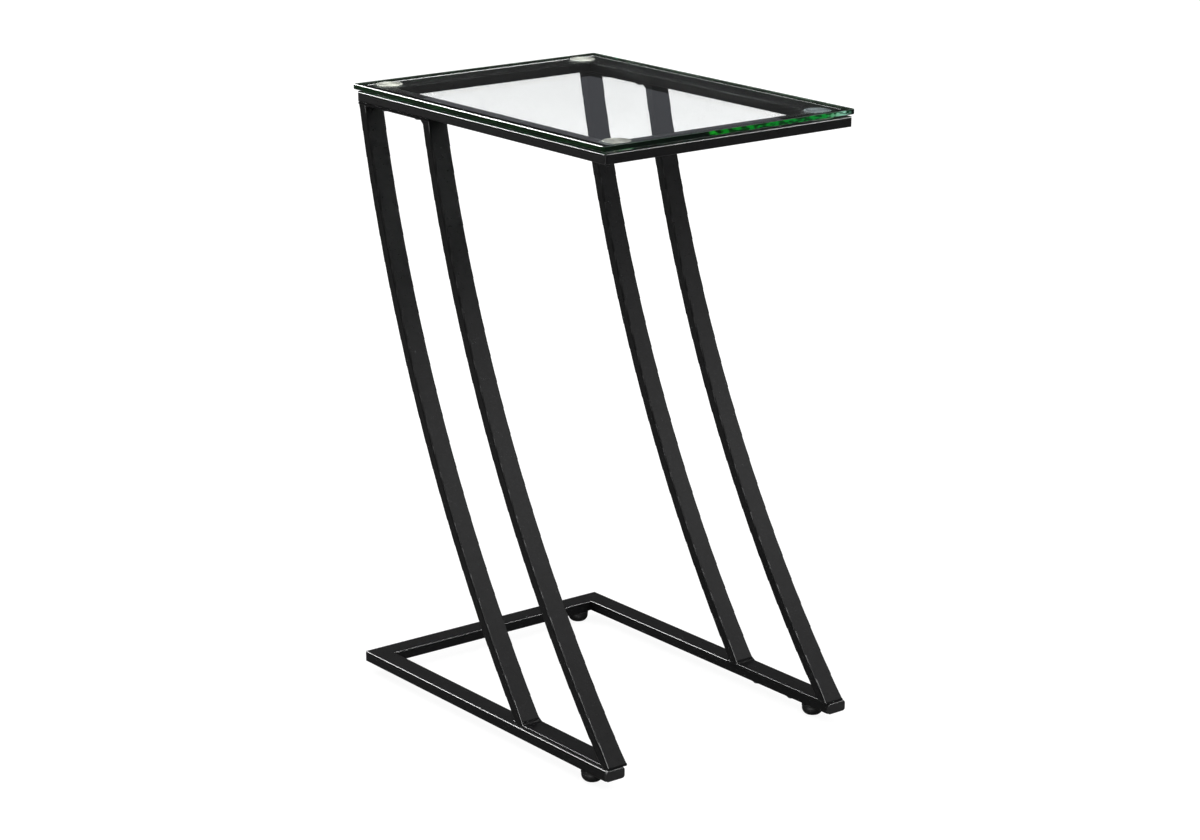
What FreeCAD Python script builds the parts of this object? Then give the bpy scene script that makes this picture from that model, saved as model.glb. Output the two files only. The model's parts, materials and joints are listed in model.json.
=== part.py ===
import FreeCAD, Part
import math
import os

# Occasional table with a slanted, C-like side: a U-shaped base on four glides, two welded side
# frames of curved tube, and a welded top frame that carries a glass top on four metal discs.
# Millimetres. +Z is up, -Y is the open front of the base, +X is the right-hand side.
# The origin is on the floor, under the middle of the whole table.

Vector = FreeCAD.Vector
X_AXIS, Y_AXIS, Z_AXIS = Vector(1, 0, 0), Vector(0, 1, 0), Vector(0, 0, 1)
SIDES = {"left": -1, "right": 1}
ENDS = {"front": -1, "rear": 1}
UP, DOWN = 1, -1

# ---- overall sizes ----
table_height = 610.0
base_width = 298.0
base_depth = 404.0            # from the faces of the end caps to the back of the rear rail

# ---- tube stock ----
tube_wall = 1.2
tube_corner = 1.6             # outside corner radius of every tube, whose inside corners are plain
base_rail_width = 22.0
base_rail_height = 11.0
top_rail_width = 26.0
top_rail_height = 10.2
leg_width = 22.0              # along X
leg_thickness = 11.0          # along the radius of the bend
mitre_round = 2.5             # plan radius of the dressed frame corners

# ---- top ----
glass_thickness = 5.0
glass_corner = 3.0
glass_arris = 0.6
glass_side_overhang = 2.5
glass_front_overhang = 1.0
top_frame_rear_inset = 4.0    # from the back of the base to the back of the top frame
top_frame_front_inset = 6.0   # from the faces of the end caps to the front of the top frame

# ---- discs that carry the glass ----
disc_radius = 12.8            # of the face that is bonded to the glass
disc_foot_radius = 16.0       # of the flared foot that rests on the rails
disc_foot_edge = 0.4          # height of the foot's upright edge
disc_height = 1.8
disc_chamfer = 0.3
disc_boss_radius = 3.8        # the threaded boss under each disc, which stands in the rail's upper wall
disc_boss_gap = 0.2           # from the end of the boss to the underside of that wall
disc_bore_cover = 0.5         # metal between the end of the bore and the glass
disc_screw_gap = 0.2          # from the end of the screw to the end of the bore
disc_plate_gap = 0.2          # from the access hole below each disc to the leg plates
disc_rail_gap = 0.5           # from that hole to the inner side wall of the front rail
access_clearance = 0.3        # radial, round a washer in the access hole
boss_clearance = 0.2

# ---- side frames ----
side_inset = 3.0              # outer faces of the legs and the top frame to the side of the base
bend_radius = 1450.0          # centreline of the rear leg
leg_spacing = 105.5           # between the two concentric centrelines
plate_thickness = 2.5
plate_edge_round = 0.6        # on the long edges
leg_top_inset = 2.0           # back of the rear leg to the back of the top frame, at the plate
leg_foot_inset = 1.0          # front of the front leg to the faces of the end caps, at the plate
weld_leg = 3.0                # leg length of the fillet welds
weld_throat = 0.2             # how far the bead stands off the leg at its upper edge

# ---- fasteners, modelled plain at the nominal size of the thread ----
thread_fit = 0.05             # radial
m6_radius = 3.0
m6_clearance = 0.3            # radial, in the holes that a bolt passes through
m6_head_radius = 5.25
m6_head_height = 3.3
m6_socket = 4.0               # across flats
m6_socket_depth = 2.0
m5_radius = 2.5
m5_clearance = 0.25           # radial, in the holes that a screw passes through
m5_head_radius = 4.25
m5_head_height = 2.8
m5_socket = 3.0
m5_socket_depth = 1.8
m5_washer_radius = 5.0
m5_washer_height = 1.0
head_flat = 0.6               # radius of a head's flat face, as a share of the head's radius
head_edge = 0.3               # height of a head's upright edge, as a share of the head's height
top_bolt_pitch = 56.0
foot_bolt_pitch = 52.0
bolt_end_gap = 0.8            # from the end of a bolt to what lies beyond it

# ---- threaded bushes and bosses ----
bush_radius = 4.5
bush_bulge_radius = 5.6       # where the bush is crimped, behind the wall
bush_bulge_height = 1.4
bush_end_gap = 1.7            # from the end of a bush to the upper wall of its tube
foot_boss_radius = 5.0
foot_boss_gap = 3.8           # from the end of a boss to the lower wall of the base rail
foot_boss_side_gap = 1.8      # from the side of a boss to the inner wall of the base rail

# ---- end caps ----
cap_flange = 3.0
cap_corner = 3.0
cap_edge_round = 1.0
cap_core_length = 14.0
cap_core_gap = 0.9            # between the core and the inside of the tube
cap_core_wall = 1.6
cap_rib_count = 3
cap_rib_thickness = 1.4
cap_rib_gap = 0.1

# ---- glides ----
glide_height = 11.0           # floor to the underside of the base rails
glide_seat_gap = 0.3
glide_top_radius = 10.8
glide_foot_radius = 7.2       # of the flat sole
glide_rim_height = 2.6
glide_rim_step = 0.5
glide_bulge = 1.5             # how far the side stands out from a plain cone
front_glide_set_back = 36.0   # axis to the faces of the end caps
rear_glide_from_side = 31.0   # axis to the outer side of the base
stud_depth = 6.5              # how deep the stud sits in the glide
stud_top_gap = 0.6            # from the top of the stud to the upper wall of the base rail
stud_bevel = 0.6

# ---- modelling allowances ----
cut_spare = 1.0               # how far a cutter reaches past the face that it opens
hole_depth = 1.5              # depth of a hole's cutter, as a share of the wall that it opens
bend_spare = 2.0              # degrees of bend beyond each plate, trimmed off level
same_place = 1e-6

# ---- places that follow from the sizes ----
front_y = -base_depth / 2
rear_y = base_depth / 2
tube_end_y = front_y + cap_flange
base_bottom = glide_height
base_top = base_bottom + base_rail_height
base_middle = (base_bottom + base_top) / 2
glass_bottom = table_height - glass_thickness
frame_top = glass_bottom - disc_height
frame_bottom = frame_top - top_rail_height
frame_middle = (frame_bottom + frame_top) / 2
frame_front = front_y + top_frame_front_inset
frame_rear = rear_y - top_frame_rear_inset
foot_plate_top = base_top + plate_thickness
top_plate_bottom = frame_bottom - plate_thickness
leg_outer_x = base_width / 2 - side_inset
leg_axis_x = leg_outer_x - leg_width / 2
m6_hole_radius = m6_radius + m6_clearance
m5_hole_radius = m5_radius + m5_clearance
foot_bolt_x = base_width / 2 - base_rail_width + tube_wall + foot_boss_side_gap + foot_boss_radius
top_frame_half = leg_outer_x
glass_front = frame_front - glass_front_overhang
access_radius = m5_washer_radius + access_clearance
disc_x = leg_outer_x - leg_width - disc_plate_gap - access_radius
disc_front_y = frame_front + top_rail_width - tube_wall - disc_rail_gap - access_radius
disc_ys = {"front": disc_front_y, "rear": rear_y - (disc_front_y - glass_front)}
disc_boss_length = tube_wall - disc_boss_gap
disc_bore_end = glass_bottom - disc_bore_cover


# ---- basic shapes ----
def box(low, high):
    size = [high[i] - low[i] for i in range(3)]
    return Part.makeBox(size[0], size[1], size[2], Vector(low[0], low[1], low[2]))


def cylinder(radius, x, y, low, high):
    return Part.makeCylinder(radius, high - low, Vector(x, y, low), Z_AXIS)


def ring(radius, bore, x, y, low, high):
    return cylinder(radius, x, y, low, high).cut(cylinder(bore, x, y, low - cut_spare, high + cut_spare))


def wall_hole(radius, x, y, face, outward):
    """A cutter for one wall of a tube. face is the wall's outer height, outward is UP or DOWN."""
    low, high = sorted((face + outward * cut_spare, face - outward * hole_depth * tube_wall))
    return cylinder(radius, x, y, low, high)


def turned(profile, x, y, arc_at=None):
    """A solid of revolution about a vertical axis, from (radius, z) points. The three points that start
    at arc_at are joined by an arc, and all the others by straight lines."""
    points = [Vector(radius, 0, z) for radius, z in profile]
    edges = []
    for i, point in enumerate(points):
        following = points[(i + 1) % len(points)]
        if i == arc_at:
            edges.append(Part.Arc(point, following, points[i + 2]).toShape())
        elif arc_at is None or i != arc_at + 1:
            edges.append(Part.LineSegment(point, following).toShape())
    face = Part.Face(Part.Wire(edges))
    solid = face.revolve(Vector(0, 0, 0), Z_AXIS, 360)
    solid.translate(Vector(x, y, 0))
    return solid


def rounded_rectangle(width, height, radius):
    """A closed wire in the XY plane, centred on the origin."""
    x, y, quarter = width / 2 - radius, height / 2 - radius, math.pi / 2
    corners = []
    for i, (cx, cy) in enumerate(((x, y), (-x, y), (-x, -y), (x, -y))):
        circle = Part.Circle(Vector(cx, cy, 0), Z_AXIS, radius)
        corners.append(Part.ArcOfCircle(circle, i * quarter, (i + 1) * quarter))
    edges = []
    for i, corner in enumerate(corners):
        following = corners[(i + 1) % len(corners)]
        edges.append(corner.toShape())
        edges.append(Part.LineSegment(corner.EndPoint, following.StartPoint).toShape())
    return Part.Wire(edges)


def solid_section(width, height, radius):
    return Part.Face(rounded_rectangle(width, height, radius))


def tube_section(width, height):
    """The face of a hollow rectangular tube, in the XY plane, centred on the origin."""
    inner_w, inner_h = width - 2 * tube_wall, height - 2 * tube_wall
    bore = Part.makePlane(inner_w, inner_h, Vector(-inner_w / 2, -inner_h / 2, 0))
    return solid_section(width, height, tube_corner).cut(bore).Faces[0]


def along_y(section, x, z, y_low, y_high):
    """Extrudes an XY section along Y, its width along X and its height along Z."""
    face = section.copy()
    face.rotate(Vector(0, 0, 0), X_AXIS, 90)
    face.translate(Vector(x, y_low, z))
    return face.extrude(Vector(0, y_high - y_low, 0))


def along_x(section, y, z, x_low, x_high):
    """Extrudes an XY section along X, its width along Y and its height along Z."""
    face = section.copy()
    face.rotate(Vector(0, 0, 0), Z_AXIS, 90)
    face.rotate(Vector(0, 0, 0), Y_AXIS, 90)
    face.translate(Vector(x_low, y, z))
    return face.extrude(Vector(x_high - x_low, 0, 0))


def plan_prism(points, low, high):
    corners = [Vector(x, y, low) for x, y in points]
    return Part.Face(Part.makePolygon(corners + corners[:1])).extrude(Vector(0, 0, high - low))


def rounded_plate(x_half, y_low, y_high, low, high, radius, ends=(-1, 1)):
    """A flat block whose upright edges are rounded at the chosen ends in Y."""
    block = box((-x_half, y_low, low), (x_half, y_high, high))
    chosen_ys = [{-1: y_low, 1: y_high}[end] for end in ends]
    upright = [edge for edge in block.Edges if edge.BoundBox.ZLength > (high - low) / 2]
    chosen = [edge for edge in upright
              if any(abs(edge.CenterOfMass.y - y) < same_place for y in chosen_ys)]
    return block.makeFillet(radius, chosen)


def hex_socket(across_flats, x, y, low, high):
    reach, turn = across_flats / math.sqrt(3), math.pi / 3
    points = [(x + reach * math.cos(turn * i), y + reach * math.sin(turn * i)) for i in range(6)]
    return plan_prism(points, low, high)


def button_screw(x, y, seat, end, radius, head_radius, head_height, socket, socket_depth):
    """A socket screw driven from below: its head lies under seat, its shank ends at end."""
    head_low = seat - head_height
    edge_low = seat - head_height * head_edge
    profile = [(0, head_low), (head_radius * head_flat, head_low), (head_radius, edge_low),
               (head_radius, seat), (radius, seat), (radius, end), (0, end)]
    key_hole = hex_socket(socket, x, y, head_low - cut_spare, head_low + socket_depth)
    return turned(profile, x, y).cut(key_hole)


def threaded_bush(x, y, low, rail_height):
    """A bush crimped into the lower wall of a tube."""
    bore = m6_radius + thread_fit
    wall_top = low + tube_wall
    high = low + rail_height - tube_wall - bush_end_gap
    return turned([(bore, low), (bush_radius, low), (bush_radius, wall_top), (bush_bulge_radius, wall_top),
                   (bush_radius, wall_top + bush_bulge_height), (bush_radius, high), (bore, high)], x, y)


def group(solids):
    return Part.makeCompound(solids)


# ---- geometry of the bend ----
def bend_centre():
    """(y, z) of the common centre of the four legs. The back of the rear leg meets the top plate at
    one point and the front of the front leg meets the foot plate at another."""
    far = bend_radius + leg_thickness / 2
    near = bend_radius - leg_spacing - leg_thickness / 2
    top_y, top_z = frame_rear - leg_top_inset, top_plate_bottom
    foot_y, foot_z = front_y + leg_foot_inset, foot_plate_top
    dy, dz = foot_y - top_y, foot_z - top_z
    span = math.hypot(dy, dz)
    along = (far ** 2 - near ** 2 + span ** 2) / (2 * span)
    aside = math.sqrt(far ** 2 - along ** 2)
    return top_y + (along * dy + aside * dz) / span, top_z + (along * dz - aside * dy) / span


centre_y, centre_z = bend_centre()
leg_radius = {"rear": bend_radius, "front": bend_radius - leg_spacing}


def leg_face_y(end, face, z):
    """Where the front (-1) or rear (1) face of a leg lies at a height."""
    radius = leg_radius[end] + face * leg_thickness / 2
    return centre_y + math.sqrt(radius ** 2 - (z - centre_z) ** 2)


def bent_bar(section, end, side):
    """Revolves a section about the centre of the bend and trims it level between the plates."""
    radius = leg_radius[end]
    high = math.degrees(math.asin((centre_z - top_plate_bottom) / radius)) - bend_spare
    low = math.degrees(math.asin((centre_z - foot_plate_top) / radius)) + bend_spare
    face = section.copy()
    face.translate(Vector(side * leg_axis_x, centre_y + radius, centre_z))
    pivot = Vector(0, centre_y, centre_z)
    face.rotate(pivot, X_AXIS, -high)
    bar = face.revolve(pivot, X_AXIS, high - low)
    slab = box((-base_width, -base_depth, foot_plate_top), (base_width, base_depth, top_plate_bottom))
    return bar.common(slab)


def leg(side, end):
    return bent_bar(tube_section(leg_width, leg_thickness), end, side)


def weld_fillet(side, end, face, plate_z, up):
    """A bead between one face of a leg and a plate. up is UP above a plate, DOWN below one."""
    y = leg_face_y(end, face, plate_z)
    buried_y = y - face * leg_thickness / 2
    far_z = plate_z + up * weld_leg
    corners = [(buried_y, plate_z), (y + face * weld_leg, plate_z),
               (leg_face_y(end, face, far_z) + face * weld_throat, far_z), (buried_y, far_z)]
    half = (leg_width - tube_corner) / 2
    points = [Vector(side * leg_axis_x - half, py, pz) for py, pz in corners]
    bead = Part.Face(Part.makePolygon(points + points[:1])).extrude(Vector(2 * half, 0, 0))
    return bead.cut(bent_bar(solid_section(leg_width, leg_thickness, tube_corner), end, side))


# ---- places of the fasteners and the glides ----
def pair(low, high, pitch):
    """Two places, a pitch apart and evenly set between low and high."""
    middle = (low + high) / 2
    return middle - pitch / 2, middle + pitch / 2


front_glide_y = front_y + front_glide_set_back
top_bolt_ys = pair(leg_face_y("front", 1, top_plate_bottom), leg_face_y("rear", -1, top_plate_bottom),
                   top_bolt_pitch)
foot_bolt_ys = pair(front_glide_y + glide_top_radius, leg_face_y("rear", -1, foot_plate_top), foot_bolt_pitch)
top_bolts = [(side * leg_axis_x, y) for side in SIDES.values() for y in top_bolt_ys]
foot_bolts = [(side * foot_bolt_x, y) for side in SIDES.values() for y in foot_bolt_ys]
cross_rail_ys = {"front": frame_front + top_rail_width / 2, "rear": frame_rear - top_rail_width / 2}
discs = [(side * disc_x, y) for side in SIDES.values() for y in disc_ys.values()]
rail_axis_x = base_width / 2 - base_rail_width / 2
rear_rail_axis_y = rear_y - base_rail_width / 2
glide_places = {}
for name, side in SIDES.items():
    glide_places["front_" + name] = (side * rail_axis_x, front_glide_y)
    glide_places["rear_" + name] = (side * (base_width / 2 - rear_glide_from_side), rear_rail_axis_y)


# ---- base frame ----
def base_holes():
    cutters = [wall_hole(bush_radius + thread_fit, x, y, base_bottom, DOWN) for x, y in glide_places.values()]
    for x, y in foot_bolts:
        cutters.append(wall_hole(m6_hole_radius, x, y, base_bottom, DOWN))
        cutters.append(wall_hole(foot_boss_radius + boss_clearance, x, y, base_top, UP))
    return group(cutters)


def base_rail(tube, corners):
    """Mitres a tube to a plan outline, dresses the rear corners and drills the rail."""
    outline = rounded_plate(base_width / 2, front_y, rear_y, base_bottom, base_top, mitre_round, ends=(1,))
    return tube.common(plan_prism(corners, base_bottom, base_top)).common(outline).cut(base_holes())


def base_side_rail(side):
    outer, inner = side * base_width / 2, side * (base_width / 2 - base_rail_width)
    tube = along_y(tube_section(base_rail_width, base_rail_height), side * rail_axis_x, base_middle,
                   tube_end_y, rear_y)
    return base_rail(tube, [(outer, tube_end_y), (inner, tube_end_y), (inner, rear_y - base_rail_width),
                            (outer, rear_y)])


def base_rear_rail():
    half, inner = base_width / 2, base_width / 2 - base_rail_width
    inner_y = rear_y - base_rail_width
    tube = along_x(tube_section(base_rail_width, base_rail_height), rear_rail_axis_y, base_middle,
                   -half, half)
    return base_rail(tube, [(-half, rear_y), (half, rear_y), (inner, inner_y), (-inner, inner_y)])


def tube_filler(side, gap, y_low, y_high):
    """A block inside the tube of a side rail, with the same gap on its four sides."""
    half_x, half_z = base_rail_width / 2 - tube_wall - gap, base_rail_height / 2 - tube_wall - gap
    return box((side * rail_axis_x - half_x, y_low, base_middle - half_z),
               (side * rail_axis_x + half_x, y_high, base_middle + half_z))


def end_cap(side):
    """A moulded plug: a rounded flange over the tube's end and a hollow, ribbed core inside it."""
    flange = along_y(solid_section(base_rail_width, base_rail_height, cap_corner), side * rail_axis_x,
                     base_middle, front_y, tube_end_y)
    front_edges = [edge for edge in flange.Edges
                   if all(abs(corner.Y - front_y) < same_place for corner in edge.Vertexes)]
    cap = flange.makeFillet(cap_edge_round, front_edges)
    core_end = tube_end_y + cap_core_length
    cap = cap.fuse(tube_filler(side, cap_core_gap, tube_end_y, core_end))
    pitch = cap_core_length / cap_rib_count
    for i in range(cap_rib_count):
        rib_middle = tube_end_y + pitch * (i + 0.5)
        cap = cap.fuse(tube_filler(side, cap_rib_gap, rib_middle - cap_rib_thickness / 2,
                                   rib_middle + cap_rib_thickness / 2))
    hollow = tube_filler(side, cap_core_gap + cap_core_wall, tube_end_y, core_end + cut_spare)
    return cap.cut(hollow).removeSplitter()


# ---- glides ----
def glide_cup(place):
    """A bowl-shaped foot under a rim, with a flat sole and a blind bore for the stud."""
    x, y = glide_places[place]
    top = glide_height - glide_seat_gap
    rim = top - glide_rim_height
    bowl_radius = glide_top_radius - glide_rim_step
    middle = ((bowl_radius + glide_foot_radius) / 2 + glide_bulge, rim / 2)
    cup = turned([(0, 0), (glide_foot_radius, 0), middle, (bowl_radius, rim), (glide_top_radius, rim),
                  (glide_top_radius, top - glide_rim_step), (glide_top_radius - glide_rim_step, top),
                  (0, top)], x, y, arc_at=1)
    return cup.cut(cylinder(m6_radius + thread_fit, x, y, top - stud_depth, top + cut_spare))


def glide_stud(place):
    x, y = glide_places[place]
    low = glide_height - glide_seat_gap - stud_depth
    high = base_top - tube_wall - stud_top_gap
    return turned([(0, low), (m6_radius, low), (m6_radius, high - stud_bevel), (m6_radius - stud_bevel, high),
                   (0, high)], x, y)


# ---- top frame ----
def top_holes():
    cutters = [wall_hole(bush_radius + thread_fit, x, y, frame_bottom, DOWN) for x, y in top_bolts]
    for x, y in discs:
        cutters.append(wall_hole(access_radius, x, y, frame_bottom, DOWN))
        cutters.append(wall_hole(disc_boss_radius + boss_clearance, x, y, frame_top, UP))
    return group(cutters)


def top_rail(tube, corners):
    """Mitres a tube to a plan outline, dresses the corners of the frame and drills the rail."""
    outline = rounded_plate(top_frame_half, frame_front, frame_rear, frame_bottom, frame_top, mitre_round)
    return tube.common(plan_prism(corners, frame_bottom, frame_top)).common(outline).cut(top_holes())


def top_side_rail(side):
    outer, inner = side * top_frame_half, side * (top_frame_half - top_rail_width)
    tube = along_y(tube_section(top_rail_width, top_rail_height), (outer + inner) / 2, frame_middle,
                   frame_front, frame_rear)
    return top_rail(tube, [(outer, frame_front), (inner, frame_front + top_rail_width),
                           (inner, frame_rear - top_rail_width), (outer, frame_rear)])


def top_cross_rail(end):
    face_y = frame_rear if ENDS[end] > 0 else frame_front
    inner_y = face_y - ENDS[end] * top_rail_width
    half, inner = top_frame_half, top_frame_half - top_rail_width
    tube = along_x(tube_section(top_rail_width, top_rail_height), cross_rail_ys[end], frame_middle,
                   -half, half)
    return top_rail(tube, [(-half, face_y), (half, face_y), (inner, inner_y), (-inner, inner_y)])


# ---- glass top and what holds it ----
def glass_top():
    plate = rounded_plate(top_frame_half + glass_side_overhang, glass_front, rear_y, glass_bottom,
                          table_height, glass_corner)
    rims = [edge for edge in plate.Edges if edge.BoundBox.ZLength < same_place]
    return plate.makeChamfer(glass_arris, rims)


def glass_disc(x, y):
    """A flared disc bonded under the glass, with a threaded boss that stands in the rail."""
    bore = m5_radius + thread_fit
    boss_end = frame_top - disc_boss_length
    return turned([(bore, boss_end), (disc_boss_radius, boss_end), (disc_boss_radius, frame_top),
                   (disc_foot_radius, frame_top), (disc_foot_radius, frame_top + disc_foot_edge),
                   (disc_radius, glass_bottom - disc_chamfer), (disc_radius - disc_chamfer, glass_bottom),
                   (0, glass_bottom), (0, disc_bore_end), (bore, disc_bore_end)], x, y)


def glass_screw_seat():
    """The underside of the washer, which lies inside the rail, under its upper wall."""
    return frame_top - tube_wall - m5_washer_height


def glass_screw(x, y):
    return button_screw(x, y, glass_screw_seat(), disc_bore_end - disc_screw_gap, m5_radius,
                        m5_head_radius, m5_head_height, m5_socket, m5_socket_depth)


def glass_washer(x, y):
    return ring(m5_washer_radius, m5_hole_radius, x, y, glass_screw_seat(), frame_top - tube_wall)


# ---- side frames: two legs and the two plates that they are welded to ----
def leg_plate(side, y_low, y_high, low, high, bolts):
    """A flat plate under or over the legs of one side, drilled for the bolts of that side."""
    xs = sorted((side * leg_outer_x, side * (leg_outer_x - leg_width)))
    plate = box((xs[0], y_low, low), (xs[1], y_high, high))
    long_edges = [edge for edge in plate.Edges if edge.BoundBox.YLength > leg_spacing]
    plate = plate.makeFillet(plate_edge_round, long_edges)
    for x, y in bolts:
        if x * side > 0:
            plate = plate.cut(cylinder(m6_hole_radius, x, y, low - cut_spare, high + cut_spare))
    return plate


def leg_top_plate(side):
    plate = leg_plate(side, leg_face_y("front", -1, top_plate_bottom), frame_rear - leg_top_inset,
                      top_plate_bottom, frame_bottom, top_bolts)
    for end, face in (("front", 1), ("rear", -1)):
        plate = plate.fuse(weld_fillet(side, end, face, top_plate_bottom, DOWN))
    return plate.removeSplitter()


def leg_foot_plate(side):
    plate = leg_plate(side, front_y + leg_foot_inset, leg_face_y("rear", 1, foot_plate_top) + weld_leg,
                      base_top, foot_plate_top, [])
    for end, face in (("front", 1), ("rear", -1), ("rear", 1)):
        plate = plate.fuse(weld_fillet(side, end, face, foot_plate_top, UP))
    return plate.removeSplitter()


def top_plate_bolt(x, y):
    tip = frame_top - tube_wall - bush_end_gap
    return button_screw(x, y, top_plate_bottom, tip, m6_radius, m6_head_radius, m6_head_height,
                        m6_socket, m6_socket_depth)


def foot_plate_bolt(x, y):
    return button_screw(x, y, base_bottom, base_top - bolt_end_gap, m6_radius, m6_head_radius,
                        m6_head_height, m6_socket, m6_socket_depth)


def foot_boss(x, y):
    """A threaded boss under the foot plate, which stands in the rail."""
    low = base_bottom + tube_wall + foot_boss_gap
    return ring(foot_boss_radius, m6_radius + thread_fit, x, y, low, base_top)


# ---- every node by its name ----
def build():
    nodes = {
        "glass_top": glass_top(),
        "glass_fixing_screws": group([glass_screw(x, y) for x, y in discs]),
        "glass_fixing_washers": group([glass_washer(x, y) for x, y in discs]),
        "base_rail_rear": base_rear_rail(),
        "top_plate_bolts": group([top_plate_bolt(x, y) for x, y in top_bolts]),
        "top_rail_bushes": group([threaded_bush(x, y, frame_bottom, top_rail_height) for x, y in top_bolts]),
        "foot_plate_bolts": group([foot_plate_bolt(x, y) for x, y in foot_bolts]),
        "foot_plate_bosses": group([foot_boss(x, y) for x, y in foot_bolts]),
        "glide_bushes": group([threaded_bush(x, y, base_bottom, base_rail_height)
                               for x, y in glide_places.values()]),
    }
    for end in ENDS:
        nodes["top_rail_" + end] = top_cross_rail(end)
    for name, side in SIDES.items():
        nodes["top_rail_" + name] = top_side_rail(side)
        nodes["base_rail_" + name] = base_side_rail(side)
        nodes["end_cap_" + name] = end_cap(side)
        nodes["leg_top_plate_" + name] = leg_top_plate(side)
        nodes["leg_foot_plate_" + name] = leg_foot_plate(side)
        for end in ENDS:
            nodes["leg_" + end + "_" + name] = leg(side, end)
            nodes["glass_disc_" + end + "_" + name] = glass_disc(side * disc_x, disc_ys[end])
    for place in glide_places:
        nodes["glide_cup_" + place] = glide_cup(place)
        nodes["glide_stud_" + place] = glide_stud(place)
    return nodes


os.makedirs("parts", exist_ok=True)
for node, shape in build().items():
    shape.exportStep("parts/" + node + ".step")
    print(node, len(shape.Solids), shape.isValid(), round(shape.Volume, 1))
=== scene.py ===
import json
import math

import bmesh
import bpy
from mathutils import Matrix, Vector


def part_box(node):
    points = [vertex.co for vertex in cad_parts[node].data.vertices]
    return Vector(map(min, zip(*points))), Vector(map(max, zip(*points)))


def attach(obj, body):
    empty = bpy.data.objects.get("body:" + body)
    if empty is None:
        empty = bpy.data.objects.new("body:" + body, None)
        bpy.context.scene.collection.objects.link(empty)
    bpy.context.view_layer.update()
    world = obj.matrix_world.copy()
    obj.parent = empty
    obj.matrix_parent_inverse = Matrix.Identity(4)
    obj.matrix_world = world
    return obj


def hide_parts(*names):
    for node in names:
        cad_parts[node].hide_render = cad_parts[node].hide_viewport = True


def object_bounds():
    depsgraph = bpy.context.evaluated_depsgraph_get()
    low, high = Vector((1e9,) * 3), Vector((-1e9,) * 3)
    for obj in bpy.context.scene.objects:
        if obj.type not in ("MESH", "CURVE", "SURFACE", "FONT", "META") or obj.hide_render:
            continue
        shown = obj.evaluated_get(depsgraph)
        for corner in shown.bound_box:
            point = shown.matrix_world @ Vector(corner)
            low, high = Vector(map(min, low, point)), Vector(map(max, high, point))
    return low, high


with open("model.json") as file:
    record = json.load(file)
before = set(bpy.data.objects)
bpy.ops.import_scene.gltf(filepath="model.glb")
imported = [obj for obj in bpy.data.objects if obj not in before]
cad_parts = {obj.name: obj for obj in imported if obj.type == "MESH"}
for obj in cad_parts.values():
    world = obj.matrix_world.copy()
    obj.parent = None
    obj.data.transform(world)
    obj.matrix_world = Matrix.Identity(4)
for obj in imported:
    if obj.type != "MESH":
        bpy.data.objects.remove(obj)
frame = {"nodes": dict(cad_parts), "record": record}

# A narrow occasional table: a clear glass top on four turned steel discs, a black powder-coated
# frame of flat steel tube with four curved legs, and a U-shaped base on screw-out glides.

cad_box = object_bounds()
nodes = frame["nodes"]
MM = 0.001
SIDES = ("left", "right")
ENDS = ("front", "rear")
PLACES = [end + "_" + side for end in ENDS for side in SIDES]
FRAME_BODY = "table_frame"

# ---- the view ----
VIEW_AZIMUTH = math.radians(-37.78)
VIEW_ELEVATION = math.radians(16.32)
VIEW_DISTANCE = 3.00805
VIEW_LENS = 92.10
VIEW_SENSOR = 36.0
AIM_RIGHT = -0.11 * MM        # the view's aim, from the middle of the table's height
AIM_UP = -15.44 * MM

# ---- sizes of what is dressed here ----
GLASS_CORNER = 3.0 * MM
GLASS_ARRIS = 0.5 * MM
GLASS_RIM = 9.6 * MM          # border of the pane painted dark, where one sees the pane's own far edge
GLASS_REAR_RIM = 10.9 * MM    # the same at the rear, as far in as the gap beside the rail shows
BOND_DEPTH = 0.02 * MM        # how far the pane takes in the discs that it is bonded to
DISC_FACE = 12.8 * MM         # radius of a disc's flat face, inside its flare
DISC_MARGIN = 0.2 * MM        # clear glass left round each disc, inside the pane's border
DISC_PAINTED_HIGHLIGHT_REACH = 8.0 * MM         # a front disc's flare is painted with a highlight this far before its axis
DISC_NOWHERE = 1000 * MM      # for the rear discs, whose flare gets no painted highlight: beyond any flare
WELD_MIN_LENGTH = 20.0 * MM   # these three tell the welds from the other faces of a leg plate
WELD_MIN_HEIGHT = 2.8 * MM
WELD_MIN_SLOPE = 0.2          # share of the face's normal that points to the front or the rear
WELD_SAME_WAY = 0.999         # cosine between the normals of two faces of one weld
RIPPLE_PITCH = 1.3 * MM       # from one ripple of a weld to the next
RIPPLE_LENGTH = 1.0 * MM      # half sizes of a ripple: along the weld, across it and out of it
RIPPLE_WIDTH = 1.9 * MM
RIPPLE_HEIGHT = 0.45 * MM
RIPPLE_LEAST = 0.85           # size of the smallest ripple, against the largest
RIPPLE_ROUNDNESS = 2          # subdivisions of the ball that each ripple is drawn from
WELD_SEED = 4
THREAD_PITCH = 1.0 * MM       # of the M6 studs
THREAD_DEPTH = 0.6 * MM
THREAD_ROWS = 8               # rows of faces to one turn of the thread
THREAD_STEPS = 32             # faces round the stud
STUD_BEVEL = 0.6 * MM
CORNER_STEPS = 8              # of each round corner of the pane
RIM_ARC_STEPS = 12            # of the border's way round a disc
FRONT_SHARE = 0.15            # of the corner's radius, that counts as front edge
PANE_FACES = ("clear", "lit edge", "shaded edge", "arris", "rim")
SHARP_ANGLE = 35              # degrees; edges that turn more than this are drawn sharp
PANE_SHARP_ANGLE = 30

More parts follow.
